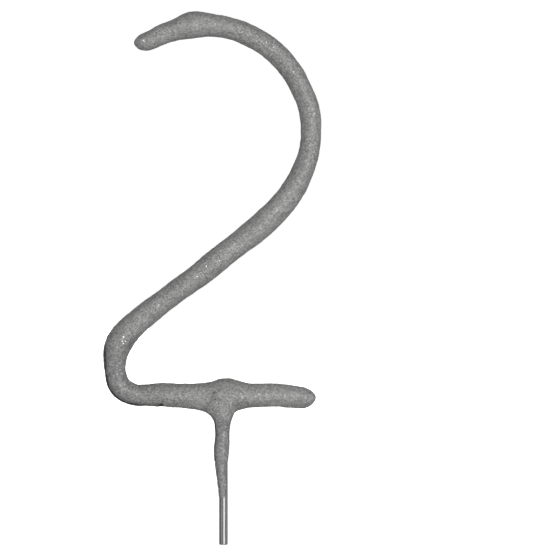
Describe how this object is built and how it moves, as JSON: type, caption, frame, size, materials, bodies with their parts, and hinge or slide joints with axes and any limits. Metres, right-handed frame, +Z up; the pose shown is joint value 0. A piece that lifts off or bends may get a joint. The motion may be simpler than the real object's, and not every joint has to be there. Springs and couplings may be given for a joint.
{
  "type": "number sparkler",
  "caption": "Hand-dipped sparkler shaped as a figure 2, with two coats of dried composition on a bent steel wire and a hooked, bare-ended wire stem.",
  "frame": {"origin": "centre of the stem wire's cut end", "axes": "+Z up the stem, +X to the right as the figure is read, and the reader on the -Y side"},
  "size_m": [0.0497, 0.0079, 0.1211],
  "materials": {
    "steel_wire": "drawn, bright",
    "first_dip": "rough, fine-grained",
    "second_dip": "rough, grainy, with small bright metal grains"
  },
  "bodies": {
    "root": {"numeral_wire": "steel_wire", "stem_wire": "steel_wire", "first_dip_coat": "first_dip", "second_dip_coat": "second_dip"}
  },
  "joints": []
}
